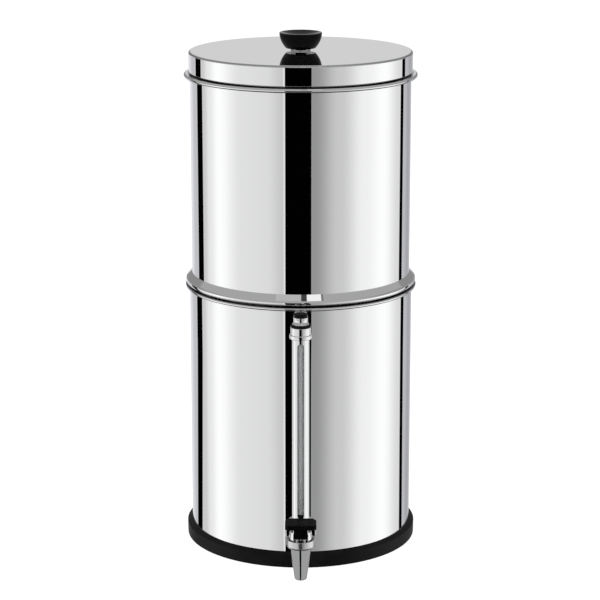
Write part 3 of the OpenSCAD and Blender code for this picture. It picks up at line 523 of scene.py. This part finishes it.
# studio: a round wall of soft light, cards before it, a ceiling with soft boxes, a pit, a floor; in metres
studio = {
    "wallRadius": 3.0, "low": -2.6, "high": 4.0, "wallStep": 3, "wallLeast": 4, "discSides": 64,
    # brightness round the wall, in degrees from the camera, positive to its right, and in the zone above that
    "wall": [(-180, 0.74), (-160, 0.82), (-143, 0.60), (-118, 0.68), (-108, 0.92), (-93, 1.15), (-62, 0.86),
             (-36, 0.82), (-17, 0.66), (13, 0.34), (40, 0.66), (68, 1.0), (94, 1.14), (122, 0.80), (137, 0.56),
             (150, 0.42), (180, 0.74)],
    "above": [(-180, 0.67), (-175, 0.67), (-170, 0.29), (-150, 0.28), (-105, 0.32), (-60, 0.42), (60, 0.42),
              (105, 0.32), (150, 0.28), (170, 0.29), (175, 0.67), (180, 0.67)],
    # from this many degrees on, the wall's own zone is slightly blue
    "coolFrom": 130, "cool": (0.98, 0.985, 1.035),
    # heights between which a zone fades into the next, and the two plain zones at the top and bottom
    "aboveFrom": (0.40, 0.50), "plainFrom": (1.65, 1.80), "belowFrom": (-1.62, -1.52),
    "plain": 0.42, "below": 0.45,
    # behind the object, between these shares of a turn, the zone above comes down by this much
    "rearFrom": (145 / 360, 155 / 360), "rearDrop": 0.3,
    "ceiling": 0.42, "pit": 0.45, "hole": 0.03, "holeRadius": 2.2, "holeLift": 0.01,
    # black cards and one pale strip: first and last degree at the foot, lowest and highest point, lean in
    # degrees a metre, brightness
    "cards": [(-15.6, 10.7, -2.55, 0.85, 0, 0.0005), (-134.6, -121.8, -0.6, 0.45, 0, 0.0005),
              (125.2, 132.6, -0.6, 0.45, 0, 0.0005), (-146.1, -133.3, -1.6, -0.6, 11.5, 0.0005),
              (129.0, 136.4, -1.6, -0.6, -3.8, 0.0005), (-17.4, -15.8, -1.6, 0.45, 0, 0.86)],
    "cardGap": 0.05,
    # soft boxes on the ceiling: lowest and highest x, lowest and highest y, brightness
    "boxes": [(0.26, 0.87, -1.35, -0.65, 1.0), (-1.06, 0.02, -1.35, -0.65, 0.52),
              (0.02, 0.26, -1.35, -0.65, 0.06), (0.87, 0.96, -1.35, -0.65, 0.2)],
    "boxDrop": 0.02,
    "floor": {"size": 12.0, "glow": 0.84, "take": 0.36, "bounce": 0.8},
    "sky": 0.5,
    "lamps": [("keyLamp", (-1.6, -1.9, 2.2), 1.8, 30.0), ("fillLamp", (1.9, -1.4, 1.6), 1.8, 18.0),
              ("topLamp", (0.0, 0.4, 2.8), 2.2, 30.0)],
    "lampAim": (0, 0, 0.25),
}


def glow(name, strength):
    paint = coat(name)
    tone = strength(paint) if callable(strength) else grey(strength)
    paint.owner.cycles.emission_sampling = "NONE"
    return paint.finish(paint.add("ShaderNodeEmission", None, {"Color": tone}))


def zoneTone(key, degrees, level):
    cool = key == "wall" and abs(degrees) >= studio["coolFrom"]
    return tinted(level, studio["cool"]) if cool else grey(level)


def wallTone(paint):
    x, y, z = paint.axes()
    turn = x.sum("ARCTAN2", x, -y) * (0.5 / math.pi) + 0.5  # 0 to 1 round the wall, 0.5 on the camera's side

    def zone(key):
        stops = [((degrees + 180) / 360, zoneTone(key, degrees, level)) for degrees, level in studio[key]]
        return paint.add("ShaderNodeValToRGB", {"stops": stops, "ease": "EASE"}, {0: turn})

    # behind the object the zone above reaches further down, where the ends of the rims show it
    rear = paint.spread(abs(turn - 0.5), *studio["rearFrom"], 0.0, studio["rearDrop"])
    tone = paint.mix(paint.spread(z + rear, *studio["aboveFrom"]), zone("wall"), zone("above"))
    tone = paint.mix(paint.spread(z, *studio["plainFrom"]), tone, grey(studio["plain"]))
    return paint.mix(paint.spread(z, *studio["belowFrom"]), grey(studio["below"]), tone)


def staged(bm, name, material, seen=("glossy",)):
    mesh = bpy.data.meshes.new(name)
    bm.to_mesh(mesh)
    bm.free()
    mesh.materials.append(material)
    piece = bpy.data.objects.new(name, mesh)
    scene.collection.objects.link(piece)
    for ray in ("camera", "diffuse", "glossy", "transmission", "volume_scatter", "shadow"):
        setattr(piece, "visible_" + ray, ray in seen)


def arcWall(name, radius, low, high, first, last, material, lean=0.0):
    bm = bmesh.new()
    start = bm.verts.new((0, -radius, low))
    turn = Matrix.Rotation(math.radians(first), 3, "Z")
    bmesh.ops.rotate(bm, verts=[start], cent=(0, 0, 0), matrix=turn)
    steps = max(studio["wallLeast"], int((last - first) / studio["wallStep"]))
    bmesh.ops.spin(bm, geom=[start], cent=(0, 0, 0), axis=(0, 0, 1), angle=math.radians(last - first),
                   steps=steps, use_merge=last - first == 360)
    grown = bmesh.ops.extrude_edge_only(bm, edges=bm.edges[:])
    top = [v for v in grown["geom"] if isinstance(v, bmesh.types.BMVert)]
    bmesh.ops.translate(bm, verts=top, vec=(0, 0, high - low))
    turn = Matrix.Rotation(math.radians(lean * (high - low)), 3, "Z")
    bmesh.ops.rotate(bm, verts=top, cent=(0, 0, 0), matrix=turn)
    staged(bm, name, material)


def disc(name, radius, height, material, seen=("glossy",)):
    bm = bmesh.new()
    bmesh.ops.create_circle(bm, cap_ends=True, radius=radius, segments=studio["discSides"])
    bmesh.ops.translate(bm, verts=bm.verts, vec=(0, 0, height))
    staged(bm, name, material, seen)


def softBox(name, left, right, front, rear, level):
    bm = bmesh.new()
    bmesh.ops.create_grid(bm, x_segments=1, y_segments=1, size=0.5)
    bmesh.ops.scale(bm, verts=bm.verts, vec=(right - left, rear - front, 1))
    middle = ((left + right) / 2, (front + rear) / 2, studio["high"] - studio["boxDrop"])
    bmesh.ops.translate(bm, verts=bm.verts, vec=middle)
    staged(bm, name, glow(name + "Glow", level))


arcWall("studioWall", studio["wallRadius"], studio["low"], studio["high"], 0, 360, glow("wallGlow", wallTone))
disc("studioPit", studio["wallRadius"], studio["low"], glow("pitGlow", studio["pit"]))
disc("studioHole", studio["holeRadius"], studio["low"] + studio["holeLift"], glow("holeGlow", studio["hole"]))
disc("studioCeiling", studio["wallRadius"], studio["high"], glow("ceilingGlow", studio["ceiling"]))
for index, (first, last, low, high, lean, level) in enumerate(studio["cards"]):
    arcWall("wallCard%d" % index, studio["wallRadius"] - studio["cardGap"], low, high, first, last,
            glow("cardGlow%d" % index, level), lean)
for index, sides in enumerate(studio["boxes"]):
    softBox("softBox%d" % index, *sides)


# the camera sees the floor's glow with the object's shadow on it, and other rays see a plain pale floor
def floorPaint():
    look = studio["floor"]
    paint = coat("paleFloor")
    soft = paint.add("ShaderNodeBsdfDiffuse", None, {"Color": grey(look["take"])})
    pale = paint.add("ShaderNodeEmission", None, {"Color": grey(look["glow"])})
    white = paint.add("ShaderNodeBsdfDiffuse", None, {"Color": grey(look["bounce"])})
    both = paint.add("ShaderNodeAddShader", None, {0: soft, 1: pale})
    camera = paint.add("ShaderNodeLightPath", out="Is Camera Ray")
    paint.owner.cycles.emission_sampling = "NONE"
    return paint.finish(paint.add("ShaderNodeMixShader", None, {0: camera, 1: white, 2: both}))


disc("floor", studio["floor"]["size"], 0.0, floorPaint(), ("camera", "diffuse", "shadow"))


# the world is white to the camera, to gloss and through the clear tube, and half as bright as light
def skyPaint():
    world = bpy.data.worlds.new("studio")
    paint = Paint(world, "ShaderNodeOutputWorld")
    rays = paint.node("ShaderNodeLightPath").outputs
    camera, glossy, passing = (Flow(paint, rays["Is %s Ray" % kind]) for kind in ("Camera", "Glossy", "Transmission"))
    level = paint.spread(camera.above(glossy).above(passing), 0.0, 1.0, studio["sky"], 1.0)
    return paint.finish(paint.add("ShaderNodeBackground", None, {"Color": grey(1.0), "Strength": level}))


scene.world = skyPaint()
for name, place, size, power in studio["lamps"]:
    lamp = bpy.data.lights.new(name, "AREA")
    lamp.shape, lamp.size, lamp.energy = "DISK", size, power
    lampObject = bpy.data.objects.new(name, lamp)
    scene.collection.objects.link(lampObject)
    lampObject.location = place
    lampObject.rotation_euler = (Vector(studio["lampAim"]) - Vector(place)).to_track_quat("-Z", "Y").to_euler()
    lampObject.visible_glossy = lampObject.visible_camera = lampObject.visible_transmission = False
print("studio set")
